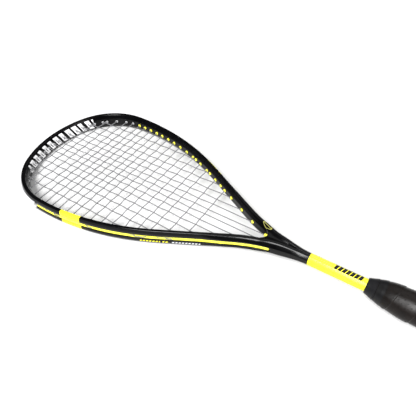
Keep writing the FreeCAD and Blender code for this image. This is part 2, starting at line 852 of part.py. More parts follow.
PIECES = {
    "frame_hoop": lambda: fixed_feature("hoop", make_hoop()),
    "throat_fork": lambda: fixed_feature("fork", make_fork()),
    "shaft_tube": make_shaft,
    "bumper_guard": lambda: fixed_feature("guard", make_guard()),
    "grommet_strip_left": lambda: fixed_feature("strip_left", make_strip(-1)),
    "grommet_strip_right": lambda: fixed_feature("strip_right", make_strip(1)),
    "main_string": lambda: fixed_feature("mains", make_string(main_route())),
    "cross_string": lambda: fixed_feature("crosses", make_string(cross_route())),
    "handle_pallet": make_pallet,
    "grip_tape": make_tape,
    "finishing_tape": make_finishing_tape,
    "grip_collar": make_collar,
    "butt_cap": make_butt_cap,
    "butt_cap_staples": make_staples,
    "butt_badge": make_badge,
}

features = {}
for label, make in PIECES.items():
    feature = make()
    feature.Label = label
    features[label] = feature
doc.recompute()

for thing in doc.Objects:
    for state in ("Invalid", "Error"):
        if state in thing.State:
            raise ValueError("%s is %s" % (thing.Label, state))

for label, feature in features.items():
    shape = feature.Shape
    if shape.isNull() or not shape.isValid():
        raise ValueError("%s has no valid shape" % label)
    shape.exportStep("parts/%s.step" % label)
    print("%-20s %9.1f mm3, %d solid(s)" % (label, shape.Volume, len(shape.Solids)))
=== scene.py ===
import math
import bmesh
import bpy
from mathutils import Matrix, Vector


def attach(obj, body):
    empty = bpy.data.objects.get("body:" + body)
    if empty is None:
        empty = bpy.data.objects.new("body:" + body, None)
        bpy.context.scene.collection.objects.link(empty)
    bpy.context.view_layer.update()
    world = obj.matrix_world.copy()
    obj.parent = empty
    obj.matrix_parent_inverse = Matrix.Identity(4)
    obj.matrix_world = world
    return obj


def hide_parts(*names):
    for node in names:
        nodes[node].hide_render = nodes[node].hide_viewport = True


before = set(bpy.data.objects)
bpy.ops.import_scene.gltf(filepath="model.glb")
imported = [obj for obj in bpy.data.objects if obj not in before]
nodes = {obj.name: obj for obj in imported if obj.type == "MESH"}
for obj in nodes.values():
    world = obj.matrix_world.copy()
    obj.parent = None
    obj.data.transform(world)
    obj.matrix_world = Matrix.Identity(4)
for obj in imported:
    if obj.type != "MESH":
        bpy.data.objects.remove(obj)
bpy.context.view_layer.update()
MM = 0.001


# ---------------------------------------------------------------- camera, lights and floor

LENS_MM = 36.9
CLIP_START = 0.01
CAMERA_PLACE = (-0.28566, 0.2231, 0.37826)
CAMERA_RIGHT = (0.54107, -0.84066, -0.02308)
CAMERA_UP = (0.62393, 0.38287, 0.68127)
CAMERA_BACK = (-0.56388, -0.38301, 0.73167)

# The floor leans, so that the racket lies on it at the grip and at the tip.
FLOOR_X = (-0.75, 1.0)
FLOOR_Y = (-0.65, 1.25)
FLOOR_Z = -0.0176               # height at GRIP_REST_Y
FLOOR_SLOPE = 0.0130
GRIP_REST_Y = 0.180
FLOOR_GREY = (0.66, 0.66, 0.66)
FLOOR_ROUGH = 0.55
FLOOR_GLOW = 0.05

BACKDROP_STRENGTH = 0.92        # of the white that only the camera sees
WORLD_STRENGTH = 0.10           # of the white that lights the racket
WHITE = (1.0, 1.0, 1.0)


def link(name, data):
    thing = bpy.data.objects.new(name, data)
    bpy.context.scene.collection.objects.link(thing)
    return thing


def turned_to(x_axis, y_axis, z_axis):
    return Matrix((x_axis, y_axis, z_axis)).transposed().to_4x4()


def make_camera():
    data = bpy.data.cameras.new("camera")
    data.lens = LENS_MM
    data.clip_start = CLIP_START
    camera = link("camera", data)
    turn = turned_to(Vector(CAMERA_RIGHT), Vector(CAMERA_UP), Vector(CAMERA_BACK))
    camera.matrix_world = Matrix.Translation(CAMERA_PLACE) @ turn
    bpy.context.scene.camera = camera


def softbox(name, direction, distance, length, width, radiance, target=(0.0, 0.4, 0.0), lie=(1.0, 0.0, 0.0)):
    """Oval area light that faces the racket: where it stands, its two sizes, how bright its face is,
    and the direction that its length lies along."""
    data = bpy.data.lights.new(name, "AREA")
    data.shape = "ELLIPSE"
    data.size = length
    data.size_y = width
    data.energy = radiance * math.pi * math.pi * length * width / 4
    lamp = link(name, data)
    way = Vector(direction).normalized()
    side = way.cross(Vector(lie)).normalized()
    turn = turned_to(side.cross(way), side, way)
    lamp.matrix_world = Matrix.Translation(Vector(target) + way * distance) @ turn


def make_stage():
    (left, right), (near, far) = FLOOR_X, FLOOR_Y
    corners = []
    for x, y in ((left, near), (right, near), (right, far), (left, far)):
        corners.append((x, y, FLOOR_Z + FLOOR_SLOPE * (y - GRIP_REST_Y)))
    mesh = bpy.data.meshes.new("floor")
    mesh.from_pydata(corners, [], [(0, 1, 2, 3)])
    floor = link("floor", mesh)
    paint = Paint("floor_white", rough=FLOOR_ROUGH)
    paint.base(FLOOR_GREY)
    paint.emit(WHITE, FLOOR_GLOW)
    mesh.materials.append(paint.material)


def make_light():
    softbox("key", (-0.6, -0.05, 0.77), distance=4.0, length=2.7, width=1.5, radiance=33.0,
            target=(0.0, 0.35, 0.0), lie=(0.69, 0.32, 0.56))
    softbox("overhead", (0.5, -0.1, 0.87), distance=3.2, length=3.6, width=3.6, radiance=1.3)
    softbox("fill", (-0.1, -0.85, 0.5), distance=3.0, length=1.6, width=1.6, radiance=4.0)
    world = bpy.data.worlds.new("studio")
    bpy.context.scene.world = world
    world.use_nodes = True
    background = world.node_tree.nodes["Background"]
    background.inputs["Color"].default_value = (*WHITE, 1.0)
    # a white backdrop behind the floor, which lights the racket only faintly
    seen = world.node_tree.nodes.new("ShaderNodeLightPath")
    strength = world.node_tree.nodes.new("ShaderNodeMath")
    strength.operation = "MULTIPLY_ADD"
    strength.inputs[1].default_value = BACKDROP_STRENGTH
    strength.inputs[2].default_value = WORLD_STRENGTH
    world.node_tree.links.new(seen.outputs["Is Camera Ray"], strength.inputs[0])
    world.node_tree.links.new(strength.outputs["Value"], background.inputs["Strength"])
    bpy.context.scene.view_settings.view_transform = "Standard"


# ---------------------------------------------------------------- procedural materials

NOISE_RANGE = (0.3, 0.7)        # a noise texture's value is nearly always in here


class Paint:
    """Small helper that builds one node material round a Principled shader."""

    def __init__(self, name, rough, specular=0.5):
        self.material = bpy.data.materials.new(name)
        self.material.use_nodes = True
        self.tree = self.material.node_tree
        self.shader = self.tree.nodes["Principled BSDF"]
        self.shader.inputs["Roughness"].default_value = rough
        self.shader.inputs["Specular IOR Level"].default_value = specular
        self.normal = None

    def node(self, kind, **settings):
        made = self.tree.nodes.new(kind)
        for key, value in settings.items():
            setattr(made, key, value)
        return made

    def feed(self, socket, value):
        if isinstance(value, bpy.types.NodeSocket):
            self.tree.links.new(value, socket)
        elif isinstance(value, (tuple, list)) and len(value) == 3 and len(socket.default_value) == 4:
            socket.default_value = (*value, 1.0)
        else:
            socket.default_value = value

    def math(self, operation, a, b=0.0, c=0.0, clamp=False):
        made = self.node("ShaderNodeMath", operation=operation, use_clamp=clamp)
        for socket, value in zip(made.inputs, (a, b, c)):
            self.feed(socket, value)
        return made.outputs[0]

    def coordinates(self):
        return self.node("ShaderNodeTexCoord").outputs["Object"]

    def split(self, vector):
        made = self.node("ShaderNodeSeparateXYZ")
        self.feed(made.inputs[0], vector)
        return made.outputs

    def place(self):
        """Object coordinates, split into x, y and z in metres."""
        return self.split(self.coordinates())

    def uv(self, name):
        u, v, _ = self.split(self.node("ShaderNodeUVMap", uv_map=name).outputs[0])
        return u, v

    def rise(self, value, low, high):
        """0 at low, 1 at high, smooth between."""
        made = self.node("ShaderNodeMapRange", interpolation_type="SMOOTHSTEP", clamp=True)
        for socket, item in zip(made.inputs, (value, low, high, 0.0, 1.0)):
            self.feed(socket, item)
        return made.outputs[0]

    def between(self, value, low, high, soft):
        """1 from low to high, with soft edges."""
        up = self.rise(value, low - soft, low + soft)
        down = self.rise(value, high - soft, high + soft)
        return self.math("SUBTRACT", up, down, clamp=True)

    def stripes(self, value, pitch, share):
        """1 on the first share of each pitch, 0 on the rest."""
        return self.math("LESS_THAN", self.math("FRACT", self.math("MULTIPLY", value, 1.0 / pitch)), share)

    def radius(self, a, b):
        squares = self.math("ADD", self.math("POWER", a, 2.0), self.math("POWER", b, 2.0))
        return self.math("SQRT", squares)

    def every(self, *masks):
        total = masks[0]
        for mask in masks[1:]:
            total = self.math("MULTIPLY", total, mask)
        return total

    def either(self, one, other):
        return self.math("MAXIMUM", one, other)

    def noise(self, scale, detail=2.0, roughness=0.5):
        made = self.node("ShaderNodeTexNoise")
        self.feed(made.inputs["Vector"], self.coordinates())
        made.inputs["Scale"].default_value = scale
        made.inputs["Detail"].default_value = detail
        made.inputs["Roughness"].default_value = roughness
        return made.outputs["Fac"]

    def mix(self, factor, a, b):
        made = self.node("ShaderNodeMix", data_type="RGBA")
        self.feed(made.inputs["Factor"], factor)
        self.feed(made.inputs["A"], a)
        self.feed(made.inputs["B"], b)
        return made.outputs["Result"]

    def span(self, value, low, high):
        """Maps noise to a range."""
        made = self.node("ShaderNodeMapRange", clamp=True)
        for socket, item in zip(made.inputs, (value, *NOISE_RANGE, low, high)):
            self.feed(socket, item)
        return made.outputs[0]

    def drift(self, scale, dark, light, detail=3.0):
        """A colour that wanders slowly between two."""
        return self.mix(self.span(self.noise(scale, detail), 0.0, 1.0), dark, light)

    def base(self, colour):
        self.feed(self.shader.inputs["Base Color"], colour)

    def rough(self, scale, low, high, detail=3.0):
        """Uneven gloss."""
        self.feed(self.shader.inputs["Roughness"], self.span(self.noise(scale, detail), low, high))

    def emit(self, colour, strength):
        self.feed(self.shader.inputs["Emission Color"], colour)
        self.feed(self.shader.inputs["Emission Strength"], strength)

    def bump(self, height, distance, strength):
        """Adds a bump, over those already there."""
        made = self.node("ShaderNodeBump")
        made.inputs["Distance"].default_value = distance
        made.inputs["Strength"].default_value = strength
        self.feed(made.inputs["Height"], height)
        if self.normal:
            self.feed(made.inputs["Normal"], self.normal)
        self.normal = made.outputs[0]
        self.feed(self.shader.inputs["Normal"], self.normal)


# Where the frame's colours and printed marks lie. x, y and z are in metres. u is in metres along the hoop
# from the tip. v counts the corners of the section: 0 and 11 in the channel, 2 and 9 on the outer face,
# 3 and 4 on top, 5 and 6 inside, 7 and 8 underneath.
PRINT_EDGE = 0.0002             # half the width over which a printed edge changes colour
FINE_EDGE = 0.0001
V_EDGE = 0.02
YELLOW = (0.91, 0.86, 0.034)
DEEP_YELLOW = (0.88, 0.82, 0.030)
BLACK = (0.0010, 0.0010, 0.0012)
PALER_BLACK = (0.0024, 0.0024, 0.0028)

SHAFT_PAINT_Y = (0.2868, 0.2864)        # black above the first, yellow below the second
BAND_Y = (0.5352, 0.5628)               # yellow band on the left of the hoop
# the band's yellow stops short of the channel's lip and wall, which stay black as a painted shadow line
# between band and strip
BAND_V_CLEAR_OF_LIP_SHADE = (1.3, 10.7)

TIP_BARS_U = 0.0665
TIP_BARS_V = (4.3, 6.7)
TIP_BARS_V_EDGE = 0.05
TIP_BARS_Z = 0.0078
TIP_BAR_PITCH = 0.0112
TIP_BAR_SLANT = 0.45
TIP_BAR_SHARE = 0.52                    # share of the pitch that the thinnest bar takes
TIP_BAR_VARIETY = 0.22                  # and what the widest takes beyond that
TIP_NOTCH = (0.18, 0.30)                # in shares of the pitch
TIP_NOTCH_EDGE = 0.01
TIP_NOTCH_Z = (-0.0035, 0.0026)
TIP_BAR_WHITE = (0.93, 0.93, 0.94)

DASHES_LEFT_V = (8.95, 9.5)
DASHES_RIGHT_V = (2.5, 3.05)
DASH_SLANT = 0.5
DASH_PITCH = 0.0034
DASH_SHARE = 0.62
UPPER_DASHES_Y = (0.4335, 0.4640)
DASH_GAP_Y = (0.4400, 0.4425)
LOWER_DASHES_Y = (0.4010, 0.4305)
DASH_GREY = (0.62, 0.63, 0.65)

OVAL_X, OVAL_Y = 0.0113, 0.3438
OVAL_AXIS_X, OVAL_AXIS_Y = 0.42, 0.907  # direction of its length
OVAL_HALF_LENGTH = 0.0074
OVAL_HALF_WIDTH = 0.0029
OVAL_LINE = (0.86, 1.0)                 # in shares of the oval's radius
OVAL_LINE_EDGE = 0.03
STROKE_HALF_WIDTH = 0.0004
STROKE_HALF_LENGTH = 0.0065
OVAL_RIGHT_ABOVE_Z = 0.004
OVAL_LEFT_BELOW_Z = -0.0078
OVAL_COLOUR = (0.34, 0.33, 0.09)

SHAFT_BAR_SLANT = 0.35
SHAFT_ROW_X = (-0.0030, 0.0042)
SHAFT_FACE_Z = 0.0035
WIDE_BARS_Y, WIDE_BAR_PITCH, WIDE_BAR_SHARE = (0.2285, 0.2592), 0.0044, 0.84
THIN_BARS_Y, THIN_BAR_PITCH, THIN_BAR_SHARE = (0.2612, 0.2845), 0.0026, 0.45
WIDE_BAR_BLACK = (0.006, 0.006, 0.006)
THIN_BAR_OLIVE = (0.58, 0.55, 0.06)


def tip_bars(p, u, v, z):
    """Plain slanted bars on the inside of the tip, each with a notch, in place of lettering."""
    slant = p.math("ADD", u, p.math("MULTIPLY", z, TIP_BAR_SLANT))
    cell = p.math("MULTIPLY", slant, 1.0 / TIP_BAR_PITCH)
    part = p.math("FRACT", cell)
    order = p.node("ShaderNodeTexWhiteNoise", noise_dimensions="1D")
    p.feed(order.inputs["W"], p.math("FLOOR", cell))
    share = p.math("MULTIPLY_ADD", order.outputs["Value"], TIP_BAR_VARIETY, TIP_BAR_SHARE)
    notch = p.every(p.between(part, *TIP_NOTCH, TIP_NOTCH_EDGE), p.between(z, *TIP_NOTCH_Z, PRINT_EDGE))
    bar = p.math("SUBTRACT", p.math("LESS_THAN", part, share), notch, clamp=True)
    return p.every(p.between(v, *TIP_BARS_V, TIP_BARS_V_EDGE), bar,
                   p.between(u, -TIP_BARS_U, TIP_BARS_U, PRINT_EDGE),
                   p.between(z, -TIP_BARS_Z, TIP_BARS_Z, PRINT_EDGE))


def outer_dashes(p, left, right, v, y, z):
    """Small dashes on the outer faces: an upper row with a gap in it, and a lower row."""
    side = p.either(p.every(left, p.between(v, *DASHES_LEFT_V, V_EDGE)),
                    p.every(right, p.between(v, *DASHES_RIGHT_V, V_EDGE)))
    slant = p.math("ADD", y, p.math("MULTIPLY", z, DASH_SLANT))
    dash = p.every(side, p.stripes(slant, DASH_PITCH, DASH_SHARE))
    gap = p.between(y, *DASH_GAP_Y, PRINT_EDGE)
    upper = p.math("SUBTRACT", p.between(y, *UPPER_DASHES_Y, PRINT_EDGE), gap, clamp=True)
    return p.every(dash, upper), p.every(dash, p.between(y, *LOWER_DASHES_Y, PRINT_EDGE))


def throat_ovals(p, left, right, x, y, z):
    """An oval outline with a stroke along it, on the right arm's top and under the left arm."""
    aside = p.math("SUBTRACT", p.math("ABSOLUTE", x), OVAL_X)
    up = p.math("SUBTRACT", y, OVAL_Y)
    along = p.math("ADD", p.math("MULTIPLY", aside, OVAL_AXIS_X), p.math("MULTIPLY", up, OVAL_AXIS_Y))
    across = p.math("SUBTRACT", p.math("MULTIPLY", aside, OVAL_AXIS_Y), p.math("MULTIPLY", up, OVAL_AXIS_X))
    reach = p.radius(p.math("DIVIDE", along, OVAL_HALF_LENGTH), p.math("DIVIDE", across, OVAL_HALF_WIDTH))
    stroke = p.every(p.between(across, -STROKE_HALF_WIDTH, STROKE_HALF_WIDTH, FINE_EDGE),
                     p.between(along, -STROKE_HALF_LENGTH, STROKE_HALF_LENGTH, PRINT_EDGE))
    faces = p.either(p.every(right, p.math("GREATER_THAN", z, OVAL_RIGHT_ABOVE_Z)),
                     p.every(left, p.math("LESS_THAN", z, OVAL_LEFT_BELOW_Z)))
    return p.every(faces, p.either(p.between(reach, *OVAL_LINE, OVAL_LINE_EDGE), stroke))


def shaft_bars(p, x, y, z):
    """Two rows of plain bars on the shaft's top, and the same turned round underneath."""
    lean = p.math("ADD", y, p.math("MULTIPLY", x, SHAFT_BAR_SLANT))
    turned = p.math("MULTIPLY", x, p.math("SIGN", z))
    row = p.every(p.between(turned, *SHAFT_ROW_X, FINE_EDGE),
                  p.math("GREATER_THAN", p.math("ABSOLUTE", z), SHAFT_FACE_Z))
    wide = p.stripes(lean, WIDE_BAR_PITCH, WIDE_BAR_SHARE)
    thin = p.stripes(lean, THIN_BAR_PITCH, THIN_BAR_SHARE)
    return (p.every(row, wide, p.between(y, *WIDE_BARS_Y, PRINT_EDGE)),
            p.every(row, thin, p.between(y, *THIN_BARS_Y, PRINT_EDGE)))


def frame_paint():
    """Gloss lacquer over carbon: black, with the yellow shaft and band and plain printed marks. The band's
    yellow stops short of the channel's lip, which stays black as a painted shadow line.
    """
    p = Paint("frame_lacquer", rough=0.2, specular=0.14)
    x, y, z = p.place()
    u, v = p.uv("sweep")
    black = p.drift(55.0, BLACK, PALER_BLACK, detail=2.0)
    yellow = p.drift(55.0, YELLOW, DEEP_YELLOW, detail=2.0)
    left = p.math("LESS_THAN", x, 0.0)
    right = p.math("GREATER_THAN", x, 0.0)
    shaft = p.rise(y, *SHAFT_PAINT_Y)
    # yellow band, kept off the channel's lip and wall so that they stay black as a painted shadow line
    band = p.every(left, p.between(y, *BAND_Y, PRINT_EDGE), p.between(v, *BAND_V_CLEAR_OF_LIP_SHADE, V_EDGE))
    upper, lower = outer_dashes(p, left, right, v, y, z)
    wide, thin = shaft_bars(p, x, y, z)
    colour = p.mix(p.either(shaft, band), black, yellow)
    for mark, ink in ((tip_bars(p, u, v, z), TIP_BAR_WHITE), (upper, YELLOW), (lower, DASH_GREY),
                      (throat_ovals(p, left, right, x, y, z), OVAL_COLOUR), (wide, WIDE_BAR_BLACK),
                      (thin, THIN_BAR_OLIVE)):
        colour = p.mix(mark, colour, ink)
    p.base(colour)
    p.rough(160.0, 0.14, 0.21)
    p.bump(p.noise(900.0, detail=3.0, roughness=0.6), distance=0.00002, strength=0.35)
    return p.material


def moulded(name, dark, light, rough, specular=0.5):
    """Moulded plastic or rubber: slight colour drift, fine grain and uneven gloss."""
    p = Paint(name, rough, specular)
    p.base(p.drift(90.0, dark, light))
    p.rough(210.0, rough - 0.06, rough + 0.08)
    p.bump(p.noise(1260.0, detail=3.0, roughness=0.6), distance=0.00003, strength=0.6)
    return p.material


FILAMENT_TURN = 5200.0          # radians of twist per metre


def string_fibre(name, dark, light):
    """Multifilament string: fine twisted filaments."""
    p = Paint(name, rough=0.35)
    x, y, z = p.place()
    turn = p.math("ADD", p.math("ADD", x, y), p.math("MULTIPLY", z, 2.0))
    twist = p.math("SINE", p.math("MULTIPLY", turn, FILAMENT_TURN))
    p.base(p.mix(p.math("MULTIPLY_ADD", twist, 0.5, 0.5), dark, light))
    p.rough(600.0, 0.3, 0.45, detail=2.0)
    p.bump(twist, distance=0.00003, strength=0.5)
    return p.material


# ---------------------------------------------------------------- the frame's centreline, in mm

TIP_Y = 680.8
SEGMENTS = [(129.8, 23.5), (77.0, 65.3), (314.5, 24.3), (418.0, 4.1)]   # arcs: radius, degrees
LEAN = 27.2             # degrees between the last arc's end and the shaft
ARM_RUN = 80.0          # straight part of an arm
GAP = 3.3               # x of the centreline beside the shaft
PAST_HALF = 400.0       # more than the shaft's length below the fork
BISECTIONS = 50


def half_runs():
    """(curvature, length) from the tip down the right side, ending beside the shaft."""
    runs = [(-1.0 / radius, radius * math.radians(turn)) for radius, turn in SEGMENTS]
    runs.append((0.0, ARM_RUN))
    x, y, heading = 0.0, 0.0, 0.0
    for curvature, length in runs:
        x, y, heading = advance(x, y, heading, curvature, length)
    lean = math.radians(LEAN)
    radius = (x - GAP) / (1.0 - math.cos(lean))
    return runs + [(1.0 / radius, radius * lean)]


def advance(x, y, heading, curvature, length):
    if curvature == 0.0:
        return x + length * math.cos(heading), y + length * math.sin(heading), heading
    turned = heading + curvature * length
    x += (math.sin(turned) - math.sin(heading)) / curvature
    y -= (math.cos(turned) - math.cos(heading)) / curvature
    return x, y, turned


RUNS = half_runs()
HALF = sum(length for _, length in RUNS)


def at(station):
    """Centreline point and heading, station mm from the tip down the right side."""
    x, y, heading = 0.0, TIP_Y, 0.0
    for curvature, length in RUNS:
        if station <= length:
            return advance(x, y, heading, curvature, station)
        x, y, heading = advance(x, y, heading, curvature, length)
        station -= length
    return advance(x, y, heading, 0.0, station)


def station_at(y):
    low, high = 0.0, HALF + PAST_HALF
    for _ in range(BISECTIONS):
        middle = (low + high) / 2
        if at(middle)[1] > y:
            low = middle
        else:
            high = middle
    return low


def outward(heading):
    return Vector((-math.sin(heading), math.cos(heading)))


# ---------------------------------------------------------------- the moulded frame

# Upper half of the section at five places: (reach, z, corner radius), from the channel's floor over the top
# to the inside.
TIP = [(0.6, 2.9, 0.2), (3.2, 2.9, 0.4), (3.2, 7.0, 1.2),
       (2.1, 10.5, 1.5), (-2.2, 10.5, 1.4), (-4.6, 5.4, 1.8)]
SIDE = [(0.6, 2.9, 0.2), (3.2, 2.9, 0.4), (3.4, 6.6, 1.0),
        (1.9, 10.5, 1.4), (-1.5, 10.5, 1.4), (-4.6, 4.2, 2.2)]
ARM = [(0.6, 2.9, 0.2), (4.5, 2.9, 0.4), (5.1, 5.2, 1.2),
       (1.9, 9.8, 4.0), (-2.0, 10.3, 2.0), (-4.6, 4.6, 2.4)]
FORK = [(4.5, 0.02, 0.01), (4.5, 0.03, 0.01), (4.7, 4.1, 1.4),
        (0.6, 9.8, 3.4), (-3.2, 9.8, 1.6), (-4.5, 3.2, 1.5)]
SHAFT = [(3.1, 0.02, 0.01), (3.1, 0.03, 0.01), (3.1, 3.2, 2.2),
         (-0.6, 6.8, 3.0), (-3.3, 6.8, 0.2), (-3.3, 3.4, 0.1)]

# y where one section starts to turn into the next, and where it has done so; from SIDE_Y on it is SIDE
SHAFT_TOP_Y, FORK_LOW_Y = 287.6, 322.0
FORK_TOP_Y, ARM_LOW_Y = 330.0, 345.0
ARM_TOP_Y, SIDE_LOW_Y, SIDE_Y = 368.0, 410.0, 400.0
SIDE_STATION, TIP_STATION = 190.0, 100.0        # the last change goes by distance from the tip

CHANNEL_FLOOR = 0.6
CHANNEL_HALF = 2.9
CHANNEL_END = 329.2
CLOSED_DEPTH = 0.05             # of the seam that is left where the channel has closed
CLOSED_CORNERS = ((0.02, 0.01), (0.03, 0.01))   # z and corner radius of its two corners
END_CORNERS = ((0.05, 0.1), (0.06, 0.3))        # least z and corner radius where the end is round


def ease(t):
    t = min(1.0, max(0.0, t))
    return t * t * (3.0 - 2.0 * t)


def blend(a, b, t):
    return [[p + (q - p) * t for p, q in zip(one, two)] for one, two in zip(a, b)]


def upper_section(y, station):
    if y < SHAFT_TOP_Y:
        return [list(c) for c in SHAFT]
    if y < FORK_TOP_Y:
        section = blend(FORK, SHAFT, ease((FORK_LOW_Y - y) / (FORK_LOW_Y - SHAFT_TOP_Y)))
    elif y < SIDE_Y:
        section = blend(ARM, SIDE, ease((y - ARM_TOP_Y) / (SIDE_LOW_Y - ARM_TOP_Y)))
        if y < ARM_LOW_Y:
            fork = ARM[:2] + FORK[2:]
            section = blend(section, fork, ease((ARM_LOW_Y - y) / (ARM_LOW_Y - FORK_TOP_Y)))
    else:
        section = blend(SIDE, TIP, ease((SIDE_STATION - station) / (SIDE_STATION - TIP_STATION)))
    end_channel(section, y)
    return section


def end_channel(section, y):
    """Round the end of the string channel, and close it past that."""
    past = (CHANNEL_END + CHANNEL_HALF - y) / CHANNEL_HALF
    if past >= 1.0:
        face = section[2][0] - CLOSED_DEPTH
        section[:2] = [[face, z, radius] for z, radius in CLOSED_CORNERS]
    elif past > 0.0:
        half = CHANNEL_HALF * math.sqrt(1.0 - past * past)
        reaches = (CHANNEL_FLOOR, section[1][0])
        section[:2] = [[reach, max(half, z), radius] for reach, (z, radius) in zip(reaches, END_CORNERS)]


CORNERS = 12
CORNER_POINTS = 5
CORNER_V = 0.1                                          # half of the v that a corner takes
EDGE_POINTS = (0, 0, 1, 2, 4, 5, 4, 2, 1, 0, 0, 0)      # points on the straight after each corner
CORNER_ROOM = 0.47                                      # share of a side that one corner may take
NEARLY_FLAT = 0.9999                                    # cosine at which a corner is taken as flat
LEAST_TAN = 0.05


def ring(upper):
    """Points and v values of the closed section."""
    corners = [tuple(c) for c in upper] + [(r, -z, radius) for r, z, radius in reversed(upper)]
    arcs = []
    for i in range(CORNERS):
        here = Vector(corners[i][:2])
        back = Vector(corners[i - 1][:2]) - here
        ahead = Vector(corners[(i + 1) % CORNERS][:2]) - here
        room = min(back.length, ahead.length) * CORNER_ROOM
        back.normalize()
        ahead.normalize()
        half = math.acos(max(-NEARLY_FLAT, min(NEARLY_FLAT, back.dot(ahead)))) / 2
        cut = min(corners[i][2] / max(math.tan(half), LEAST_TAN), room)
        start, end = here + back * cut, here + ahead * cut
        arcs.append([start * (1 - t) ** 2 + here * 2 * t * (1 - t) + end * t * t
                     for t in (k / (CORNER_POINTS - 1) for k in range(CORNER_POINTS))])
    points, params = [], []
    for i in range(CORNERS):
        for k, point in enumerate(arcs[i]):
            points.append(point)
            params.append(i - CORNER_V + 2 * CORNER_V * k / (CORNER_POINTS - 1))
        following = arcs[(i + 1) % CORNERS][0]
        for k in range(EDGE_POINTS[i]):
            t = (k + 1) / (EDGE_POINTS[i] + 1)
            points.append(arcs[i][-1].lerp(following, t))
            params.append(i + CORNER_V + (1 - 2 * CORNER_V) * t)
    return points, params


# The crotch between the arms ends in a round edge.
WEB_CENTRE = 346.0
WEB_LEAN_SHARE = 0.9
WEB_X = at(station_at(WEB_CENTRE))[0]
WEB_LEAN = math.radians(LEAN) * WEB_LEAN_SHARE
WEB_REACH = 4.5
WEB_RADIUS = (WEB_X - WEB_REACH * math.cos(WEB_LEAN)) * math.cos(WEB_LEAN)
WEB_V = (4.0, 7.0)              # the part of the section that faces inwards
WEB_LIP, WEB_LIP_EASE = 0.5, 1.6
WEB_LIP_LOW_Y = 288.0


def web_wall(y):
    """x of the crotch's rounded edge at y, or None above it."""
    if y > WEB_CENTRE - WEB_RADIUS * math.sin(WEB_LEAN):
        return None
    drop = WEB_CENTRE - y
    return math.sqrt(WEB_RADIUS * WEB_RADIUS - drop * drop) if drop < WEB_RADIUS else 0.0


# The frame's rings, from the tip down: y where each stretch ends, and the step along it.
STRETCHES = ((352.0, 2.4), (326.0, 0.35), (286.0, 1.2), (12.0, 5.0))


def stations():
    places, low = [], 0.0
    for y, step in STRETCHES:
        high = station_at(y)
        count = round((high - low) / step)
        places += [low + (high - low) * i / count for i in range(count)]
        low = high
    return places + [low]


def frame_ring(mesh, station):
    """Vertices of one section of the right half, and their v values."""
    x, y, heading = at(station)
    points, params = ring(upper_section(y, station))
    out = outward(heading)
    top = max(z for _, z in points)
    row = []
    for (reach, z), param in zip(points, params):
        px, py = x + out.x * reach, y + out.y * reach
        wall = web_wall(py) if WEB_V[0] < param < WEB_V[1] else None
        if wall is not None:
            hold = ease((top - WEB_LIP - abs(z)) / WEB_LIP_EASE) if py > WEB_LIP_LOW_Y else 1.0
            px = px + (min(px, wall) - px) * hold
        row.append(mesh.verts.new((max(px, 0.0) * MM, py * MM, z * MM)))
    return row, params


TINY = 1e-7                     # metres; a face this close to the plane x = 0 is left out
WELD = 1e-6


def make_frame():
    mesh = bmesh.new()
    layer = mesh.loops.layers.uv.new("sweep")
    where = stations()
    rings = [frame_ring(mesh, station) for station in where]
    for i, ((one, params), (two, _)) in enumerate(zip(rings, rings[1:])):
        for j in range(len(one)):
            k = (j + 1) % len(one)
            corners = [one[j], one[k], two[k], two[j]]
            if all(c.co.x < TINY for c in corners):
                continue
            face = mesh.faces.new(corners)
            end_v = params[k] if k else CORNERS - CORNER_V
            ends = [(where[i], params[j]), (where[i], end_v),
                    (where[i + 1], end_v), (where[i + 1], params[j])]
            for loop, (s, param) in zip(face.loops, ends):
                loop[layer].uv = (s * MM, param)
    mirror_half(mesh, layer)
    bmesh.ops.remove_doubles(mesh, verts=mesh.verts[:], dist=WELD)
    bmesh.ops.dissolve_degenerate(mesh, edges=mesh.edges[:], dist=TINY)
    thing = smooth_object("racket_frame", mesh, frame_paint())
    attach(thing, "root")
    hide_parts("frame_hoop", "throat_fork", "shaft_tube")


def mirror_half(mesh, layer):
    """Add the left half; u is negative on it."""
    copy = bmesh.ops.duplicate(mesh, geom=mesh.verts[:] + mesh.edges[:] + mesh.faces[:])
    for item in copy["geom"]:
        if isinstance(item, bmesh.types.BMVert):
            item.co.x = -item.co.x
        elif isinstance(item, bmesh.types.BMFace):
            item.normal_flip()
            for loop in item.loops:
                loop[layer].uv.x = -loop[layer].uv.x


def smooth_object(name, mesh, material):
    bmesh.ops.recalc_face_normals(mesh, faces=mesh.faces[:])
    data = bpy.data.meshes.new(name)
    mesh.to_mesh(data)
    mesh.free()
    for polygon in data.polygons:
        polygon.use_smooth = True
    data.materials.append(material)
    return link(name, data)


# ---------------------------------------------------------------- the yellow strips and grommets

def finish_piece(name, mesh, material):
    thing = smooth_object(name, mesh, material)
    weighted = thing.modifiers.new("weighted", "WEIGHTED_NORMAL")
    weighted.keep_sharp = True
    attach(thing, "root")
    return thing


def bridge(mesh, rings):
    """Faces between each closed ring and the next."""
    for one, two in zip(rings, rings[1:]):
        for j in range(len(one)):
            k = (j + 1) % len(one)
            mesh.faces.new([one[j], one[k], two[k], two[j]])


# The strip's face: y and reach in mm. LOOPS are the stretches of y where string lies in the channel.
BAND_HALF = 1.95                # half the width of the face
BAND_TOP = 603.2
BAND_FLOOR = 0.62
BAND_LIP_Y = 331.0              # below this the lip is taken from here
BAND_SINK = 0.3                 # how far the crown lies under the channel's lip
BAND_END = 330.6
BAND_END_RUN, BAND_END_STEPS = 3.35, 12
BAND_END_FROM, BAND_STEPS = 334.0, 150
LOOPS = [(355.0, 363.0), (376.5, 386.0), (430.0, 477.0), (520.0, 534.0), (565.0, 590.0)]
LOOP_EASE = 3.0
BAND_FACE = ((0.7, 0.0, 1.0), (0.35, 0.0, 0.92), (0.15, 0.8, 0.72), (0.0, 1.4, 0.4), (0.0, 1.4, 0.0))
# each point of the face: depth under its crown, how much deeper at a loop, share of the half width
LEAST_HALF = 0.05


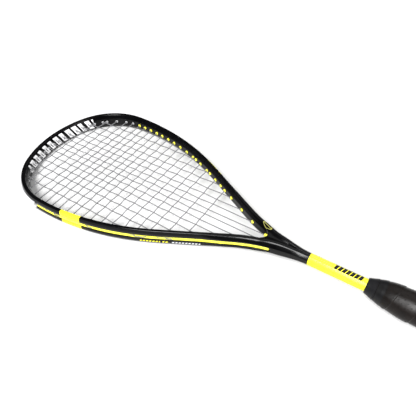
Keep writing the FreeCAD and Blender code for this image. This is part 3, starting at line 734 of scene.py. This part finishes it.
def band_section(y):
    """Crowned face of the grommet strip, which sinks at the string's loops and narrows to a round end."""
    past = max(0.0, (BAND_END + BAND_HALF - y) / BAND_HALF)
    half = max(BAND_HALF * math.sqrt(max(0.0, 1.0 - past * past)), LEAST_HALF)
    loops = sum(ease((y - low) / LOOP_EASE) * ease((high - y) / LOOP_EASE) for low, high in LOOPS)
    held = max(y, BAND_LIP_Y)
    crown = upper_section(held, station_at(held))[1][0] - BAND_SINK
    upper = [(BAND_FLOOR, half)]
    upper += [(crown - depth - dip * loops, share * half) for depth, dip, share in BAND_FACE]
    return upper + [(reach, -z) for reach, z in upper[-2::-1]]


def make_bands(material):
    top, low = station_at(BAND_TOP), station_at(BAND_END_FROM)
    places = [top + (low - top) * i / BAND_STEPS for i in range(BAND_STEPS)]
    places += [station_at(BAND_END_FROM - BAND_END_RUN * i / BAND_END_STEPS)
               for i in range(BAND_END_STEPS + 1)]
    for side, name in ((-1, "grommet_band_left"), (1, "grommet_band_right")):
        mesh = bmesh.new()
        rings = []
        for station in places:
            x, y, heading = at(station)
            out = outward(heading)
            rings.append([mesh.verts.new((side * (x + out.x * reach) * MM, (y + out.y * reach) * MM, z * MM))
                          for reach, z in band_section(y)])
        bridge(mesh, rings)
        mesh.faces.new(rings[0])
        mesh.faces.new(rings[-1])
        finish_piece(name, mesh, material)


CROTCH_X = 4.5
CROTCH_SIDES = 28
CROTCH_PROFILE = [(1.15, 340.0), (1.15, 343.4), (1.35, 343.8), (1.65, 343.7), (1.85, 343.3), (1.85, 342.6),
                  (1.7, 337.0)]         # radius and y, from the bore over the rim


def make_crotch_grommets(material):
    """The two barrels that stand out of the crotch for the middle strings."""
    angles = [2 * math.pi * k / CROTCH_SIDES for k in range(CROTCH_SIDES)]
    for side, name in ((-1, "crotch_grommet_left"), (1, "crotch_grommet_right")):
        mesh = bmesh.new()
        rings = []
        for radius, y in CROTCH_PROFILE:
            rings.append([mesh.verts.new(((side * CROTCH_X + radius * math.cos(a)) * MM, y * MM,
                                          radius * math.sin(a) * MM)) for a in angles])
        bridge(mesh, rings)
        finish_piece(name, mesh, material)


# ---------------------------------------------------------------- the wrapped grip

GRIP_LOW, GRIP_TOP = 4.6, 218.6
GRIP_LINE = [(GRIP_LOW, 17.4), (20.0, 17.2), (26.0, 16.6), (180.0, 16.6), (189.5, 16.0), (198.5, 15.0),
             (203.5, 13.8), (208.5, 12.6), (213.4, 11.0), (GRIP_TOP, 8.9)]      # y and radius
SMOOTHING = (-3.0, -1.5, 0.0, 1.5, 3.0)         # y steps that the radius is averaged over
AROUND = 120
PITCH = 23.0
PHASES = [0.0, 0.012, 0.025, 0.038, 0.05, 0.07, 0.1, 0.2, 0.3, 0.4, 0.5, 0.6, 0.7, 0.8, 0.9, 0.96, 1.0]
LAP = 0.65                                      # height of the tape's edge
LAP_SINK = 0.3                                  # share of it that lies under the grip's radius
LAP_RISE = 0.05                                 # share of the pitch
SQUARENESS, SQUARE_SIDES, SQUARE_TURN = 0.022, 4, 2.4   # the handle is slightly square
BODY_FADE = ((20.0, 20.0), (208.0, 30.0))       # y and run where that fades out at each end
GRIP_TURN = 0.6
GRIP_SHIFT_X, GRIP_SHIFT_Z = 0.7, 0.3
CREASE, CREASE_FROM, CREASE_RUN = 0.12, 188.0, 18.0     # creases where the tape is pulled in
CREASE_WAVES = ((7.0, 0.21), (3.0, -0.13))              # waves round the grip, and radians per mm of y
UV_RADIUS = 16.4
GRIP_WELD = 2e-6


def grip_radius(y):
    """Handle radius at y, with its corners eased."""
    total = 0.0
    for step in SMOOTHING:
        place = min(GRIP_TOP, max(GRIP_LOW, y + step))
        for (y0, r0), (y1, r1) in zip(GRIP_LINE, GRIP_LINE[1:]):
            if place <= y1:
                total += r0 + (r1 - r0) * (place - y0) / (y1 - y0)
                break
    return total / len(SMOOTHING)


def lap(phase):
    """Height of one turn of tape: a quick rise at its lower edge, then a slow fall under the next turn."""
    if phase < LAP_RISE:
        return LAP * ease(phase / LAP_RISE)
    return LAP * (1.0 - (phase - LAP_RISE) / (1.0 - LAP_RISE))


def grip_point(angle, y, phase):
    """Point of the tape, in metres."""
    (low, low_run), (high, high_run) = BODY_FADE
    body = ease((high - y) / high_run) * ease((y - low) / low_run)
    radius = grip_radius(y) - LAP * LAP_SINK + lap(phase)
    radius *= 1.0 + SQUARENESS * body * math.cos(SQUARE_SIDES * angle + SQUARE_TURN)
    pull = CREASE
    for waves, slope in CREASE_WAVES:
        pull *= math.sin(waves * angle + y * slope)
    radius += pull * ease((y - CREASE_FROM) / CREASE_RUN)
    return ((radius * math.cos(angle + GRIP_TURN) - GRIP_SHIFT_X * body) * MM, y * MM,
            (radius * math.sin(angle + GRIP_TURN) - GRIP_SHIFT_Z * body) * MM)


def make_grip(material):
    mesh = bmesh.new()
    layer = mesh.loops.layers.uv.new("tape")
    start = GRIP_LOW - PITCH
    turns = int((GRIP_TOP - start) / PITCH + 2)
    rows = []
    for i in range(turns * AROUND + 1):
        angle = 2 * math.pi * i / AROUND
        row = []
        for phase in PHASES:
            y = start + PITCH * (i / AROUND + phase)
            held = min(GRIP_TOP, max(GRIP_LOW, y))
            row.append((mesh.verts.new(grip_point(angle, held, phase)), angle, phase, y))
        rows.append(row)
    for one, two in zip(rows, rows[1:]):
        for j in range(len(PHASES) - 1):
            corners = [one[j], two[j], two[j + 1], one[j + 1]]
            if all(c[3] <= GRIP_LOW for c in corners) or all(c[3] >= GRIP_TOP for c in corners):
                continue
            face = mesh.faces.new([c[0] for c in corners])
            for loop, (_, angle, phase, _) in zip(face.loops, corners):
                loop[layer].uv = (angle * UV_RADIUS * MM, phase * PITCH * MM)
    bmesh.ops.remove_doubles(mesh, verts=mesh.verts[:], dist=GRIP_WELD)
    bmesh.ops.dissolve_degenerate(mesh, edges=mesh.edges[:], dist=GRIP_WELD)
    bmesh.ops.delete(mesh, geom=[v for v in mesh.verts if not v.link_faces], context="VERTS")
    thing = finish_piece("grip_wrap", mesh, material)
    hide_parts("grip_tape")


HOLE_PITCH_U, HOLE_PITCH_V = 0.0052, 0.0046     # metres between perforations
HOLE_EDGE = (0.13, 0.085)                       # in pitches from a hole's centre, outside and inside
GRIP_BLACK = (0.0050, 0.0041, 0.0038)
PALER_GRIP = (0.0098, 0.0074, 0.0064)
# painted shade in the perforations, which are only a bump
HOLE_SHADE_BLACK = (0.003, 0.003, 0.003)


def grip_leather():
    """Tacky black tape: fine pebble, rows of small perforations darkened with painted shade, and a little
    wear.
    """
    p = Paint("grip_black", rough=0.42, specular=0.13)
    u, v = p.uv("tape")
    rows = p.math("MULTIPLY", v, 1.0 / HOLE_PITCH_V)
    across = p.math("SUBTRACT", p.math("FRACT", rows), 0.5)
    stagger = p.math("MULTIPLY", p.math("MODULO", p.math("FLOOR", rows), 2.0), 0.5)
    columns = p.math("ADD", p.math("MULTIPLY", u, 1.0 / HOLE_PITCH_U), stagger)
    along = p.math("SUBTRACT", p.math("FRACT", columns), 0.5)
    holes = p.rise(p.radius(across, along), *HOLE_EDGE)
    # the perforations are painted darker, as shade in the holes
    p.base(p.mix(holes, p.drift(70.0, GRIP_BLACK, PALER_GRIP), HOLE_SHADE_BLACK))
    p.rough(240.0, 0.30, 0.42)
    p.bump(p.noise(1500.0, detail=3.0, roughness=0.65), distance=0.00005, strength=0.7)
    p.bump(p.math("SUBTRACT", 1.0, holes), distance=0.00025, strength=0.8)
    p.bump(p.noise(110.0), distance=0.00012, strength=0.6)
    return p.material


# ---------------------------------------------------------------- put together

make_camera()
make_stage()
make_light()
make_frame()
yellow_plastic = moulded("grommet_yellow", (0.93, 0.89, 0.06), (0.98, 0.94, 0.10), 0.36, specular=0.2)
make_bands(yellow_plastic)
make_crotch_grommets(yellow_plastic)
make_grip(grip_leather())

finishes = {
    "bumper_guard": moulded("guard_white", (0.50, 0.50, 0.52), (0.62, 0.62, 0.63), 0.42),
    "grommet_strip_left": yellow_plastic,
    "grommet_strip_right": yellow_plastic,
    "main_string": string_fibre("string_mains", (0.09, 0.09, 0.095), (0.20, 0.20, 0.21)),
    "cross_string": string_fibre("string_crosses", (0.10, 0.10, 0.105), (0.22, 0.22, 0.23)),
    "finishing_tape": moulded("tape_black", (0.005, 0.005, 0.006), (0.009, 0.009, 0.009), 0.35,
                              specular=0.14),
    "grip_collar": moulded("collar_rubber", (0.005, 0.005, 0.006), (0.010, 0.010, 0.011), 0.4,
                           specular=0.16),
    "butt_cap": moulded("cap_plastic", (0.010, 0.010, 0.011), (0.018, 0.018, 0.019), 0.4),
    "butt_cap_staples": moulded("staple_steel", (0.45, 0.45, 0.46), (0.58, 0.58, 0.6), 0.3),
    "butt_badge": moulded("badge_plastic", (0.80, 0.74, 0.05), (0.88, 0.82, 0.07), 0.2),
    "handle_pallet": moulded("pallet_foam", (0.09, 0.085, 0.08), (0.14, 0.13, 0.12), 0.8),
}
for name, material in finishes.items():
    nodes[name].data.materials.clear()
    nodes[name].data.materials.append(material)

BARREL_WELD = 0.00001
BARREL_SWELL = 0.0004
for name in ("grommet_strip_left", "grommet_strip_right"):
    weld = nodes[name].modifiers.new("weld", "WELD")
    weld.merge_threshold = BARREL_WELD
    swell = nodes[name].modifiers.new("flare", "DISPLACE")
    swell.mid_level = 0.0
    swell.strength = BARREL_SWELL
